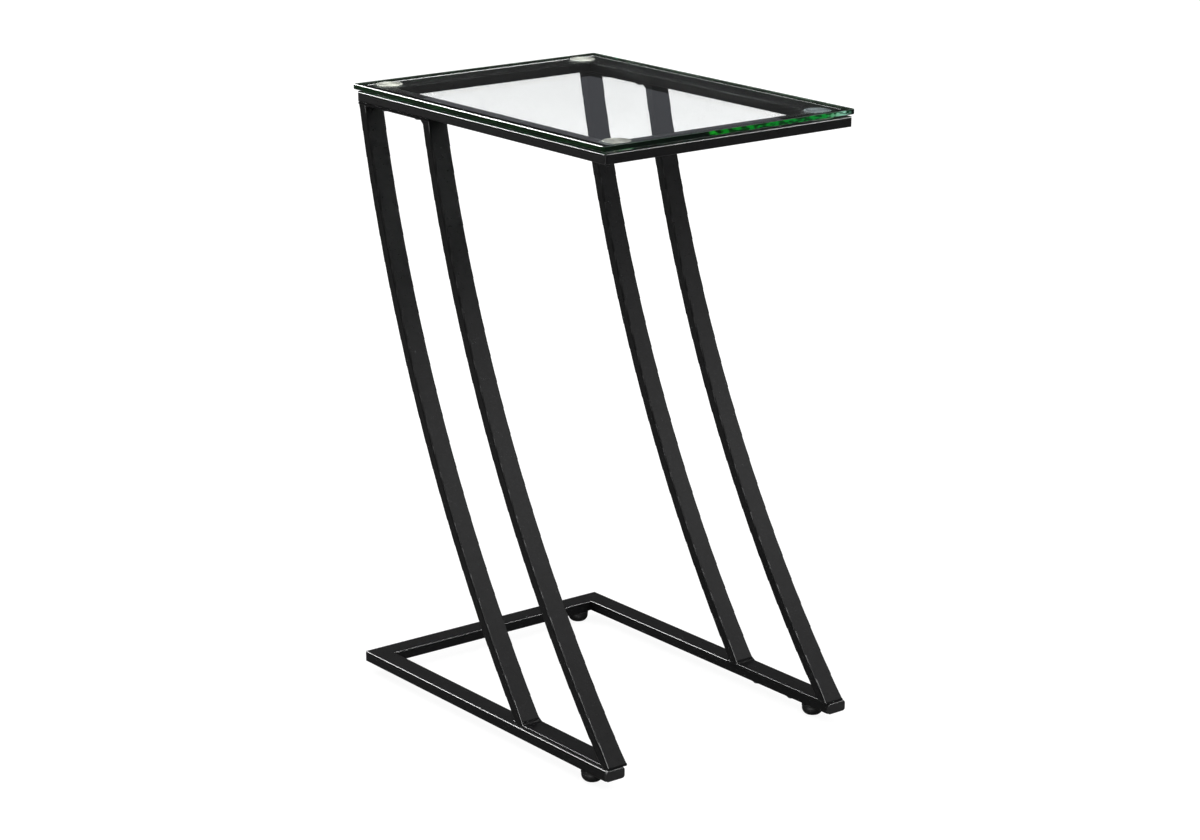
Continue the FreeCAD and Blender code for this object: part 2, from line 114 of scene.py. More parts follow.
# ---- finishes ----
LACQUER_IOR = 1.5             # of the powder coat and the plastic
GLASS_IOR = 1.52
GLASS_BODY_TINT = "#a0f0e0"
GLASS_BODY_DENSITY = 5.0      # of that tint, per metre
GLASS_LAMP_TINT = "#f1f6f3"   # what one face of the pane lets by of a lamp's light
GLASS_RIM_PAINTED_SHADE = "#050b06"    # painted shade: the square of what the pane's border lets by, from within
ARRIS_INNER_PAINTED_LIGHT = "#6a6d66"  # painted light of the arris, where one sees it through the pane
PAINTED_LIGHT_BLOTCH_STRETCH = (0.4, 0.4, 1.0)     # draws the mottling of the front edge's painted light out along it
PAINTED_REFLECTION_STREAK_STRETCH = (0.15, 0.15, 1.0)   # the same for the painted reflections along the other edges
DISC_PAINTED_LIGHT_TONES = {                # painted light and shade: the same steel drawn lighter at the rear and darker at the front, as each disc is lit; darkest and lightest tone of a disc's face
    "rear": ("#aca8a0", "#f0ede6"),
    "front_left": ("#6e6c67", "#bdbab2"),
    "front_right": ("#4e5256", "#9aa0a5"),
}
RING_PITCH_MM = 0.8           # of the tool marks on the discs, as drawn
# painted highlight and painted shade of a disc's flare
FLARE_PAINTED_HIGHLIGHT = "#e8e8e4"
FLARE_PAINTED_SHADE = "#161616"

# ---- how bright the backdrop is to a ray that isn't the camera's own ----
THROUGH_GLASS = 1.95          # makes up for what the glass keeps back at a low angle
MIRRORED_SHARE = 0.02         # low, as if black flags stood round the table: black stays black
STRAIGHT_BELOW = 2.5          # turns of a ray: the pane alone makes two, and the table adds more
MIRRORED_ABOVE = 0.5          # mirrors that a ray has met: none, or one and more
BACKDROP_ABOVE = 0.5          # a ray that sees less of the backdrop than this sees the studio too

# ---- the studio that mirrored rays see, and the fill that matt surfaces get ----
STUDIO_LEVEL = 2.3            # brightness of its front half
REAR_SHARE = 0.1              # brightness of its rear half, as a share of that
STUDIO_FRONT, STUDIO_REAR = -0.3, 0.2     # Y of the headings between which it darkens
STUDIO_BY_HEIGHT = [          # (Z of the heading, share of the brightness)
    (0.0, 0.01), (0.25, 0.012), (0.32, 0.2), (0.39, 0.9), (0.46, 1.0), (0.52, 0.6), (0.6, 0.28),
    (1.0, 0.15)]
FILL_GREY = (0.5, 0.5, 0.5, 1)

# ---- the stage ----
FLOOR_RADIUS = 12.0
FLOOR_STEPS = 96
FLOOR_SHADE_REACH = 3.0              # how far from the table the painted shade round it reaches; the floor's lift is lower inside
VEIL_HEIGHT = 0.25            # of the veil card above the glass
VEIL_LEVEL = 0.15             # of its faint reflection, which veils what lies under the glass
VEIL_TINT = "#f0f4ff"
# Each lamp: the way to it from the middle of the table, its distance and its width and height in
# metres, and its power in watts.
SOFTBOXES = {
    "rear_left_softbox": ((-0.28, 0.76, 0.62), 2.6, (1.4, 1.0), 22),
    "front_right_softbox": ((0.45, -0.62, 0.64), 2.8, (1.6, 1.6), 28),
    "top_softbox": ((0.0, 0.0, 1.0), 2.6, (1.8, 1.8), 20),
}
GLOSS_STRIPS = {
    "rear_high_strip": ((-0.28, 0.76, 0.59), 2.5, (0.3, 1.0), 165),
    "rear_low_strip": ((-0.52, 0.76, 0.39), 2.5, (1.0, 0.2), 120),
    "front_left_strip": ((-0.78, -0.42, 0.40), 2.5, (0.7, 1.6), 100),
    "front_right_strip": ((0.59, -0.60, 0.54), 2.5, (1.0, 0.2), 95),
}
# What a flagged strip lights: all nodes whose names start so. The high one lights the pane too.
LIT_BY = {
    "front_right_strip": ("top_rail_front", "base_rail_rear", "end_cap"),
    "rear_low_strip": ("top_rail_left",),
    "rear_high_strip": ("base_rail", "end_cap", "leg_foot", "leg_front", "leg_rear", "glass_disc"),
}


# =================================================================================== materials
def linear(hex_colour):
    """An sRGB hex colour as the linear values that a shader takes."""
    channels = [int(hex_colour[i:i + 2], 16) / 255 for i in (1, 3, 5)]
    return [c / 12.92 if c <= 0.04045 else ((c + 0.055) / 1.055) ** 2.4 for c in channels] + [1.0]


def add(tree, kind, settings=None, inputs=None):
    """Adds a node, sets its settings, and gives its inputs values or links."""
    made = tree.nodes.new(kind)
    for name, value in (settings or {}).items():
        setattr(made, name, value)
    for name, value in (inputs or {}).items():
        if isinstance(value, bpy.types.NodeSocket):
            tree.links.new(value, made.inputs[name])
        else:
            made.inputs[name].default_value = value
    return made


def math_node(tree, operation, first, second):
    return add(tree, "ShaderNodeMath", {"operation": operation}, {0: first, 1: second}).outputs[0]


def empty_material(name):
    material = bpy.data.materials.new(name)
    material.use_nodes = True
    material.node_tree.nodes.clear()
    return material, material.node_tree


def finish_material(tree, surface, volume=None):
    out = add(tree, "ShaderNodeOutputMaterial", inputs={"Surface": surface})
    if volume:
        tree.links.new(volume, out.inputs["Volume"])


def object_place(tree, centre=(0, 0, 0)):
    """Object coordinates in metres, measured from a centre."""
    coordinates = add(tree, "ShaderNodeTexCoord")
    away = [-c for c in centre]
    return add(tree, "ShaderNodeMapping", inputs={
        "Vector": coordinates.outputs["Object"], "Location": away}).outputs[0]


def noise(tree, place, size_mm, detail=2.0, roughness=0.5):
    """Noise whose largest lumps are about size_mm across."""
    return add(tree, "ShaderNodeTexNoise", inputs={
        "Vector": place, "Scale": 1 / (size_mm * MM), "Detail": detail,
        "Roughness": roughness}).outputs["Fac"]


def ramp(tree, value, stops):
    """Colours or greys at places from 0 to 1."""
    made = add(tree, "ShaderNodeValToRGB", inputs={"Fac": value})
    elements = made.color_ramp.elements
    while len(elements) < len(stops):
        elements.new(0.5)
    for element, (position, colour) in zip(elements, stops):
        element.position = position
        element.color = linear(colour) if isinstance(colour, str) else (colour, colour, colour, 1)
    return made.outputs["Color"]


def bump(tree, height, depth_mm, strength=1.0):
    return add(tree, "ShaderNodeBump", inputs={
        "Height": height, "Distance": depth_mm * MM, "Strength": strength}).outputs["Normal"]


def satin_powder_coat():
    """Polyester powder coat, sprayed and baked on steel: near black with a satin gloss. The eye
    sees a soft broad sheen, a fine orange peel and thin bright lines where an edge turns to a
    light."""
    material, tree = empty_material("satin_black_powder_coat")
    place = object_place(tree)
    colour = ramp(tree, noise(tree, place, size_mm=9.0, detail=5.0), [
        (0.35, "#09090a"), (0.65, "#0f0f10")])
    gloss = ramp(tree, noise(tree, place, size_mm=2.4, detail=3.0), [(0.3, 0.27), (0.7, 0.33)])
    # The real grain is about 0.3 mm and too fine to show, so it is drawn at 1.4 mm.
    peel = bump(tree, noise(tree, place, size_mm=1.4), depth_mm=0.004, strength=0.5)
    shader = add(tree, "ShaderNodeBsdfPrincipled", inputs={
        "Base Color": colour, "Roughness": gloss, "Normal": peel, "IOR": LACQUER_IOR,
        "Specular IOR Level": 0.25})
    finish_material(tree, shader.outputs[0])
    return material


def moulded_polyethylene():
    """Injection-moulded black polyethylene: duller than the frame, with faint flow marks."""
    material, tree = empty_material("moulded_black_polyethylene")
    place = object_place(tree)
    colour = ramp(tree, noise(tree, place, size_mm=6.0, detail=3.0), [
        (0.3, "#0d0d0e"), (0.7, "#151516")])
    gloss = ramp(tree, noise(tree, place, size_mm=1.5), [(0.3, 0.42), (0.7, 0.55)])
    grain = bump(tree, noise(tree, place, size_mm=0.8), depth_mm=0.02, strength=0.4)
    shader = add(tree, "ShaderNodeBsdfPrincipled", inputs={
        "Base Color": colour, "Roughness": gloss, "Normal": grain, "IOR": LACQUER_IOR,
        "Specular IOR Level": 0.4})
    finish_material(tree, shader.outputs[0])
    return material


def bright_zinc():
    """Electroplated zinc, clear passivated: a cool grey metal with a slightly uneven sheen."""
    material, tree = empty_material("bright_zinc_plate")
    place = object_place(tree)
    colour = ramp(tree, noise(tree, place, size_mm=3.0, detail=3.0), [
        (0.3, "#a9adb1"), (0.7, "#c3c6c8")])
    gloss = ramp(tree, noise(tree, place, size_mm=1.2, detail=3.0), [(0.3, 0.26), (0.7, 0.4)])
    shader = add(tree, "ShaderNodeBsdfPrincipled", inputs={
        "Base Color": colour, "Roughness": gloss, "Metallic": 1.0})
    finish_material(tree, shader.outputs[0])
    return material


def turned_steel(name, centre, at_front, painted_light_tones):
    """Bare steel faced on a lathe: fine rings about the axis, which spread each highlight into a
    fan. The face is drawn in the painted light and shade of its place. The flare below the face is
    painted shade where it lies in the narrow gap under the glass, and a painted highlight on the
    stretch that comes out at the front."""
    material, tree = empty_material(name)
    place = object_place(tree, centre)
    flat = add(tree, "ShaderNodeVectorMath", {"operation": "MULTIPLY"}, {
        0: place, 1: (1, 1, 0)}).outputs[0]
    radius = add(tree, "ShaderNodeVectorMath", {"operation": "LENGTH"}, {
        0: flat}).outputs["Value"]
    # Real tool marks, about 0.1 mm apart, are too fine to show, so they are drawn further apart.
    rings = add(tree, "ShaderNodeTexNoise", {"noise_dimensions": "1D"}, {
        "W": radius, "Scale": 1 / (RING_PITCH_MM * MM), "Detail": 3.0}).outputs["Fac"]
    face_colour = ramp(tree, rings, [(0.3, painted_light_tones[0]), (0.7, painted_light_tones[1])])
    gloss = ramp(tree, rings, [(0.3, 0.30), (0.7, 0.44)])
    tangent = add(tree, "ShaderNodeTangent", {"direction_type": "RADIAL", "axis": "Z"}).outputs[0]
    face = add(tree, "ShaderNodeBsdfPrincipled", inputs={
        "Base Color": face_colour, "Roughness": gloss, "Metallic": 0.5, "Anisotropic": 0.8,
        "Tangent": tangent, "Normal": bump(tree, rings, depth_mm=0.01, strength=0.5)})
    # The flare's colour is painted: a highlight at the front of a front disc, shade behind it and
    # on the rear discs.
    depth = add(tree, "ShaderNodeSeparateXYZ", inputs={"Vector": place}).outputs["Y"]
    inside = math_node(tree, "GREATER_THAN", depth, -(DISC_PAINTED_HIGHLIGHT_REACH if at_front else DISC_NOWHERE))
    flare_painted_light = add(tree, "ShaderNodeMix", {"data_type": "RGBA"}, {
        "Factor": inside, "A": linear(FLARE_PAINTED_HIGHLIGHT), "B": linear(FLARE_PAINTED_SHADE)}).outputs["Result"]
    flare = add(tree, "ShaderNodeBsdfPrincipled", inputs={
        "Base Color": flare_painted_light, "Roughness": 0.5, "Metallic": 0.3})
    beyond = math_node(tree, "GREATER_THAN", radius, DISC_FACE)
    steel = add(tree, "ShaderNodeMixShader", inputs={
        0: beyond, 1: face.outputs[0], 2: flare.outputs[0]})
    finish_material(tree, steel.outputs[0])
    return material


def glass_surface(tree, tint="#ffffff"):
    """What one face of the pane does to a ray. tint is the square of what it lets by."""
    return add(tree, "ShaderNodeBsdfPrincipled", inputs={
        "Base Color": linear(tint), "Roughness": 0.0, "IOR": GLASS_IOR,
        "Transmission Weight": 1.0}).outputs[0]


def finish_glass(tree, surface):
    """Opens a face of the pane to the lamps and fills the pane with its slight body tint."""
    open_to_lamps = add(tree, "ShaderNodeBsdfTransparent", inputs={
        "Color": linear(GLASS_LAMP_TINT)})
    shadow_ray = add(tree, "ShaderNodeLightPath").outputs["Is Shadow Ray"]
    seen = add(tree, "ShaderNodeMixShader", inputs={
        0: shadow_ray, 1: surface, 2: open_to_lamps.outputs[0]})
    body = add(tree, "ShaderNodeVolumeAbsorption", inputs={
        "Color": linear(GLASS_BODY_TINT), "Density": GLASS_BODY_DENSITY})
    finish_material(tree, seen.outputs[0], body.outputs[0])


def clear_float_glass():
    """Tempered float glass: the middle of the pane is clear, with a faint cool tint."""
    material, tree = empty_material("clear_float_glass")
    finish_glass(tree, glass_surface(tree))
    return material


def painted_shade_glass_rim():
    """The border of the pane's underside, seen from within the pane. A long way through green
    glass makes the far edge look a deep bottle green, and that is painted here as shade: a dark
    tint through which only something bright can be seen. From below it is clear."""
    material, tree = empty_material("painted_shade_glass_rim")
    from_within = add(tree, "ShaderNodeNewGeometry").outputs["Backfacing"]
    both = add(tree, "ShaderNodeMixShader", inputs={
        0: from_within, 1: glass_surface(tree), 2: glass_surface(tree, GLASS_RIM_PAINTED_SHADE)})
    finish_glass(tree, both.outputs[0])
    return material


def dark_from_within(tree, surface, painted_inner_light):
    """A face of the pane's edge that has no gloss where one sees it through the pane. There it
    shows a matt colour of painted light.
    """
    from_within = add(tree, "ShaderNodeNewGeometry").outputs["Backfacing"]
    matt = add(tree, "ShaderNodeBsdfDiffuse", inputs={"Color": painted_inner_light})
    return add(tree, "ShaderNodeMixShader", inputs={
        0: from_within, 1: surface, 2: matt.outputs[0]}).outputs[0]


def painted_light_glass_edge():
    """The front edge, flat-ground and polished. One looks along the sheet, so the edge is bottle
    green. Its light is painted into its colour: nearly black at the left, bright and mottled
    further right where light from the far side would get through, with a pale painted highlight
    near the right end."""
    material, tree = empty_material("painted_light_glass_edge")
    low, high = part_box("glass_top")
    place = object_place(tree, low)
    axes = add(tree, "ShaderNodeSeparateXYZ", inputs={"Vector": place})
    along = math_node(tree, "DIVIDE", axes.outputs["X"], high.x - low.x)
    flattened = add(tree, "ShaderNodeMapping", inputs={"Vector": place, "Scale": PAINTED_LIGHT_BLOTCH_STRETCH})
    painted_light_blotches = noise(tree, flattened.outputs[0], size_mm=3.0)
    # painted light along the edge: a lit and a shaded colour at each place, mixed by the mottling
    light = ramp(tree, along, [
        (0.0, "#06180a"), (0.39, "#04120a"), (0.42, "#1cb42c"), (0.45, "#0c8a1e"),
        (0.88, "#129a3a"), (0.955, "#a5e6cc"), (0.985, "#06140c")])
    dark = ramp(tree, along, [
        (0.0, "#041007"), (0.39, "#030c06"), (0.47, "#03340c"), (0.93, "#0a4420"),
        (0.97, "#0a3c24"), (0.985, "#040c08")])
    spots = ramp(tree, painted_light_blotches, [(0.45, 0.0), (0.55, 1.0)])
    colour = add(tree, "ShaderNodeMix", {"data_type": "RGBA"}, {
        "Factor": spots, "A": dark, "B": light}).outputs["Result"]
    shader = add(tree, "ShaderNodeBsdfPrincipled", inputs={
        "Base Color": colour, "Roughness": 0.08, "IOR": GLASS_IOR, "Specular IOR Level": 0.2})
    finish_material(tree, shader.outputs[0])
    return material


def painted_shade_glass_edge():
    """The other three edges, of the same polish: painted shade, a dark bottle green with a few
    lighter marks of painted reflection. Seen through the pane they are a paler matt grey-green,
    painted light.
    """
    material, tree = empty_material("painted_shade_glass_edge")
    flattened = add(tree, "ShaderNodeMapping", inputs={
        "Vector": object_place(tree), "Scale": PAINTED_REFLECTION_STREAK_STRETCH})
    painted_reflection_streaks = noise(tree, flattened.outputs[0], size_mm=3.0, detail=3.0)
    colour = ramp(tree, painted_reflection_streaks, [(0.35, "#0a1e0c"), (0.6, "#17361a"), (0.8, "#2c5a38")])
    shader = add(tree, "ShaderNodeBsdfPrincipled", inputs={
        "Base Color": colour, "Roughness": 0.1, "IOR": GLASS_IOR, "Specular IOR Level": 0.2})
    # painted light: how the edge shows through the pane, paler than from outside
    painted_inner_light = ramp(tree, painted_reflection_streaks, [(0.45, "#343c34"), (0.62, "#4a584c"), (0.75, "#6f9c86")])
    finish_material(tree, dark_from_within(tree, shader.outputs[0], painted_inner_light))
    return material


def ground_glass_arris():
    """The arris: a narrow ground bevel, frosty, so that it draws a bright line where it turns to
    a light."""
    material, tree = empty_material("ground_glass_arris")
    place = object_place(tree)
    colour = ramp(tree, noise(tree, place, size_mm=2.0, detail=3.0), [
        (0.3, "#1c2b22"), (0.7, "#34463c")])
    shader = add(tree, "ShaderNodeBsdfPrincipled", inputs={
        "Base Color": colour, "Roughness": 0.35, "IOR": GLASS_IOR})
    finish_material(tree, dark_from_within(tree, shader.outputs[0], linear(ARRIS_INNER_PAINTED_LIGHT)))
    return material


def backdrop_seen(tree):
    """How bright the white backdrop is to a ray: 1 for the camera, more through the glass, which
    takes its share at a low angle, and a small share where it is mirrored. A ray that has gone
    through the pane and met the table too doesn't see it."""
    path = add(tree, "ShaderNodeLightPath")
    few_turns = math_node(tree, "LESS_THAN", path.outputs["Ray Depth"], STRAIGHT_BELOW)
    unmirrored = math_node(tree, "LESS_THAN", path.outputs["Glossy Depth"], MIRRORED_ABOVE)
    straight = math_node(tree, "MULTIPLY", few_turns, unmirrored)
    through = math_node(tree, "MULTIPLY", path.outputs["Is Transmission Ray"], THROUGH_GLASS)
    either = math_node(tree, "MAXIMUM", path.outputs["Is Camera Ray"], through)
    direct = math_node(tree, "MULTIPLY", straight, either)
    mirrored = math_node(tree, "MULTIPLY", path.outputs["Is Glossy Ray"], MIRRORED_SHARE)
    return math_node(tree, "MAXIMUM", direct, mirrored)


def pale_floor():
    """A plain sweep of matt paper. The paper itself is a mid grey, so that little of it is
    mirrored in the coat, and its lift makes it white to the eye, with the table's faint shadow on
    it. The lift is a little lower near the table: a painted shade round it."""
    material, tree = empty_material("pale_floor")
    away = add(tree, "ShaderNodeVectorMath", {"operation": "LENGTH"}, {
        0: add(tree, "ShaderNodeTexCoord").outputs["Object"]}).outputs["Value"]
    lift_with_painted_shade = ramp(tree, math_node(tree, "DIVIDE", away, FLOOR_SHADE_REACH), [(0.1, 0.9), (0.4, 1.0)])
    lift = math_node(tree, "MULTIPLY", backdrop_seen(tree), lift_with_painted_shade)
    colour = ramp(tree, noise(tree, object_place(tree), size_mm=400.0), [
        (0.3, "#747474"), (0.7, "#7a7a7a")])
    paint = add(tree, "ShaderNodeBsdfDiffuse", inputs={"Color": colour})
    glow = add(tree, "ShaderNodeEmission", inputs={"Strength": lift})
    both = add(tree, "ShaderNodeAddShader", inputs={0: paint.outputs[0], 1: glow.outputs[0]})
    finish_material(tree, both.outputs[0])
    return material


# =================================================================================== meshes
def object_from(bm, name, materials, sharp_angle=SHARP_ANGLE):
    mesh = bpy.data.meshes.new(name)
    bmesh.ops.recalc_face_normals(bm, faces=bm.faces)
    bm.to_mesh(mesh)
    bm.free()
    for material in materials:
        mesh.materials.append(material)
    made = bpy.data.objects.new(name, mesh)
    bpy.context.scene.collection.objects.link(made)
    mesh.shade_smooth()
    mesh.set_sharp_from_angle(angle=math.radians(sharp_angle))
    return made


def add_bands(bm, loops):
    """Faces between each loop of points and the next, as (number of the band, face)."""
    made = []
    for band, (below, above) in enumerate(zip(loops, loops[1:])):
        for i in range(len(below)):
            j = (i + 1) % len(below)
            made.append((band, bm.faces.new((below[i], below[j], above[j], above[i]))))
    return made


def rounded_outline(low, high, radius, inset=0.0):
    """Points (x, y) round a rectangle with round corners, drawn in by inset."""
    r = radius - inset
    left, right = low.x + radius, high.x - radius
    front, rear = low.y + radius, high.y - radius
    points = []
    for i, (cx, cy) in enumerate(((right, rear), (left, rear), (left, front), (right, front))):
        for step in range(CORNER_STEPS + 1):
            turn = math.pi / 2 * (i + step / CORNER_STEPS)
            points.append((cx + r * math.cos(turn), cy + r * math.sin(turn)))
    return points


def clear_outline(low, high):
    """Points (x, y) round the clear middle of the pane: a rectangle inside the border, which
    steps out round the four discs."""
    points = []
    for end, side in (("rear", "right"), ("rear", "left"), ("front", "left"), ("front", "right")):
        disc_low, disc_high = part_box("glass_disc_" + end + "_" + side)
        centre = (disc_low + disc_high) / 2
        radius = DISC_FACE + DISC_MARGIN
        corner_x = (high.x - GLASS_RIM) if side == "right" else (low.x + GLASS_RIM)
        corner_y = (high.y - GLASS_REAR_RIM) if end == "rear" else (low.y + GLASS_RIM)
        over = abs(corner_y - centre.y)
        turn = math.acos(min(1.0, over / radius))
        middle = math.pi / 2 if end == "rear" else -math.pi / 2
        turns = [turn * (2 * i / RIM_ARC_STEPS - 1) for i in range(RIM_ARC_STEPS + 1)]
        arc = [(centre.x + radius * math.cos(middle + a), centre.y + radius * math.sin(middle + a))
               for a in turns]
        if (end, side) in (("rear", "right"), ("front", "left")):
            points += [(corner_x, corner_y)] + arc
        else:
            points += arc + [(corner_x, corner_y)]
    return points


def glass_pane(finishes):
    """The glass top as one closed pane: two flat faces, polished edges and an arris all round.
    The front edge and the border of the lower face have finishes of their own: painted light on the
    front edge, painted shade on the border."""
    low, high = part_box("glass_top")
    bm = bmesh.new()
    bottom = low.z - BOND_DEPTH
    levels = [(bottom, GLASS_ARRIS), (bottom + GLASS_ARRIS, 0.0), (high.z - GLASS_ARRIS, 0.0),
              (high.z, GLASS_ARRIS)]
    loops = [[bm.verts.new((x, y, z)) for x, y in rounded_outline(low, high, GLASS_CORNER, inset)]
             for z, inset in levels]
    for band, face in add_bands(bm, loops):
        at_front = face.calc_center_median().y < low.y + GLASS_CORNER * FRONT_SHARE
        wall = "lit edge" if at_front else "shaded edge"
        face.material_index = PANE_FACES.index(wall if band == 1 else "arris")
    bm.faces.new(loops[-1])
    inner = [bm.verts.new((x, y, bottom)) for x, y in clear_outline(low, high)]
    bm.faces.new(inner)
    outlines = [bm.edges.get((loop[i], loop[(i + 1) % len(loop)])) for loop in (loops[0], inner)
                for i in range(len(loop))]
    border = bmesh.ops.triangle_fill(bm, use_beauty=True, edges=outlines)
    for face in [made for made in border["geom"] if isinstance(made, bmesh.types.BMFace)]:
        face.material_index = PANE_FACES.index("rim")
    return object_from(bm, "glass_pane", finishes, PANE_SHARP_ANGLE)


def threaded_stud(place):
    """A glide's M6 stud with its thread cut as a ridge that winds up it."""
    low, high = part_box("glide_stud_" + place)
    x, y = (low.x + high.x) / 2, (low.y + high.y) / 2
    radius = (high.x - low.x) / 2
    rows = round((high.z - low.z) / THREAD_PITCH * THREAD_ROWS)
    bm = bmesh.new()
    loops = []
    for row in range(rows + 1):
        z = low.z + (high.z - low.z) * row / rows
        bevel = max(0.0, STUD_BEVEL - (high.z - z), STUD_BEVEL - (z - low.z))
        loop = []
        for step in range(THREAD_STEPS):
            turn = step / THREAD_STEPS
            phase = ((z - low.z) / THREAD_PITCH - turn) % 1.0
            groove = THREAD_DEPTH * (1 - abs(2 * phase - 1))
            r = min(radius - groove, radius - bevel)
            angle = turn * math.tau
            loop.append(bm.verts.new((x + r * math.cos(angle), y + r * math.sin(angle), z)))
        loops.append(loop)
    add_bands(bm, loops)
    bm.faces.new(loops[0])
    bm.faces.new(loops[-1])
    return object_from(bm, "threaded_stud_" + place, [])


def weld_faces(plate):
    """The sloped face of each fillet weld on a leg plate, as (centre, normal, half length along
    X). Only a weld has long faces as high as its own leg length that look to the front or the
    rear."""
    mesh = nodes[plate].data
    welds = []
    for face in mesh.polygons:
        corners = [mesh.vertices[i].co for i in face.vertices]
        length, height = [max(c[k] for c in corners) - min(c[k] for c in corners) for k in (0, 2)]
        slope = abs(face.normal.y)
        if length < WELD_MIN_LENGTH or height < WELD_MIN_HEIGHT or slope < WELD_MIN_SLOPE:
            continue
        beside = [weld for weld in welds if weld[0].dot(face.normal) > WELD_SAME_WAY
                  and abs(weld[1][0].y - face.center.y) < 2 * WELD_MIN_HEIGHT]
        if beside:
            beside[0][1].extend(corners)
        else:
            welds.append((face.normal.copy(), corners))
    found = []
    for normal, corners in welds:
        low = Vector([min(c[k] for c in corners) for k in range(3)])
        high = Vector([max(c[k] for c in corners) for k in range(3)])
        found.append(((low + high) / 2, normal, (high.x - low.x) / 2))
    return found


def weld_ripple_tree(material):
    """Lays overlapping ripples along a weld's middle line, each turned to face away from the
    weld."""
    tree = bpy.data.node_groups.new("weld_ripples", "GeometryNodeTree")
    tree.interface.new_socket("Geometry", in_out="INPUT", socket_type="NodeSocketGeometry")
    for name in ("Pitch", "Length", "Width", "Height"):
        tree.interface.new_socket(name, in_out="INPUT", socket_type="NodeSocketFloat")
    tree.interface.new_socket("Geometry", in_out="OUTPUT", socket_type="NodeSocketGeometry")
    given = add(tree, "NodeGroupInput").outputs
    lines = add(tree, "GeometryNodeMeshToCurve", inputs={"Mesh": given["Geometry"]}).outputs[0]
    spots = add(tree, "GeometryNodeResampleCurve", {"mode": "LENGTH"}, {
        "Curve": lines, "Length": given["Pitch"]}).outputs[0]
    facing = add(tree, "GeometryNodeInputNamedAttribute", {"data_type": "FLOAT_VECTOR"}, {
        "Name": "facing"}).outputs["Attribute"]
    upright = add(tree, "FunctionNodeAlignRotationToVector", {"axis": "Z"}, {
        "Vector": facing}).outputs[0]
    along = add(tree, "GeometryNodeInputTangent").outputs[0]
    turned = add(tree, "FunctionNodeAlignRotationToVector", {"axis": "X", "pivot_axis": "Z"}, {
        "Rotation": upright, "Vector": along}).outputs[0]
    ripple = add(tree, "GeometryNodeMeshIcoSphere", inputs={
        "Radius": 1.0, "Subdivisions": RIPPLE_ROUNDNESS}).outputs["Mesh"]
    size = add(tree, "ShaderNodeCombineXYZ", inputs={
        "X": given["Length"], "Y": given["Width"], "Z": given["Height"]}).outputs[0]
    unevenness = add(tree, "FunctionNodeRandomValue", {"data_type": "FLOAT"}, {
        2: RIPPLE_LEAST, 3: 1.0, "Seed": WELD_SEED}).outputs[1]
    grown = add(tree, "ShaderNodeVectorMath", {"operation": "SCALE"}, {
        0: size, "Scale": unevenness}).outputs[0]
    laid = add(tree, "GeometryNodeInstanceOnPoints", inputs={
        "Points": spots, "Instance": ripple, "Rotation": turned, "Scale": grown}).outputs[0]
    real = add(tree, "GeometryNodeRealizeInstances", inputs={"Geometry": laid}).outputs[0]
    smooth = add(tree, "GeometryNodeSetShadeSmooth", inputs={"Geometry": real}).outputs[0]
    coated = add(tree, "GeometryNodeSetMaterial", inputs={
        "Geometry": smooth, "Material": material}).outputs[0]
    add(tree, "NodeGroupOutput", inputs={"Geometry": coated})
    return tree


def weld_ripples(material):
    """The ripples of all fillet welds between the legs and their plates, as one mesh."""
    bm = bmesh.new()
    normals = []
    for plate in ("leg_top_plate_left", "leg_top_plate_right",
                  "leg_foot_plate_left", "leg_foot_plate_right"):
        for centre, normal, half in weld_faces(plate):
            inward = half - RIPPLE_LENGTH
            ends = [bm.verts.new(centre + Vector((side * inward, 0, 0))) for side in (-1, 1)]
            bm.edges.new(ends)
            normals += [normal, normal]
    mesh = bpy.data.meshes.new("weld_lines")
    bm.to_mesh(mesh)
    bm.free()
    facing = mesh.attributes.new("facing", "FLOAT_VECTOR", "POINT")
    for spot, normal in zip(facing.data, normals):
        spot.vector = normal
    line = bpy.data.objects.new("weld_lines", mesh)
    bpy.context.scene.collection.objects.link(line)
    tree = weld_ripple_tree(material)
    modifier = line.modifiers.new("weld_ripples", "NODES")
    modifier.node_group = tree
    sizes = {"Pitch": RIPPLE_PITCH, "Length": RIPPLE_LENGTH, "Width": RIPPLE_WIDTH,
             "Height": RIPPLE_HEIGHT}
    for item in tree.interface.items_tree:
        if item.name in sizes:
            modifier[item.identifier] = sizes[item.name]
    seen = line.evaluated_get(bpy.context.evaluated_depsgraph_get())
    made = bpy.data.objects.new("weld_ripples", bpy.data.meshes.new_from_object(seen))
    made.data.materials.clear()
    made.data.materials.append(material)
    made.data.polygons.foreach_set("material_index", [0] * len(made.data.polygons))
    bpy.context.scene.collection.objects.link(made)
    bpy.data.objects.remove(line)
    return made


# =================================================================================== stage
def aim_at(thing, place, target):
    thing.location = place
    thing.rotation_euler = (target - place).to_track_quat("-Z", "Y").to_euler()


def add_camera():
    back = Vector((math.sin(VIEW_AZIMUTH) * math.cos(VIEW_ELEVATION),
                   -math.cos(VIEW_AZIMUTH) * math.cos(VIEW_ELEVATION), math.sin(VIEW_ELEVATION)))
    right = Vector((0, 0, 1)).cross(back).normalized()
    up = back.cross(right)
    target = Vector((0, 0, cad_box[1][2] / 2)) + right * AIM_RIGHT + up * AIM_UP
    camera = bpy.data.objects.new("camera", bpy.data.cameras.new("camera"))
    camera.data.lens = VIEW_LENS
    camera.data.sensor_width = VIEW_SENSOR
    bpy.context.scene.collection.objects.link(camera)
    aim_at(camera, target + back * VIEW_DISTANCE, target)
    bpy.context.scene.camera = camera


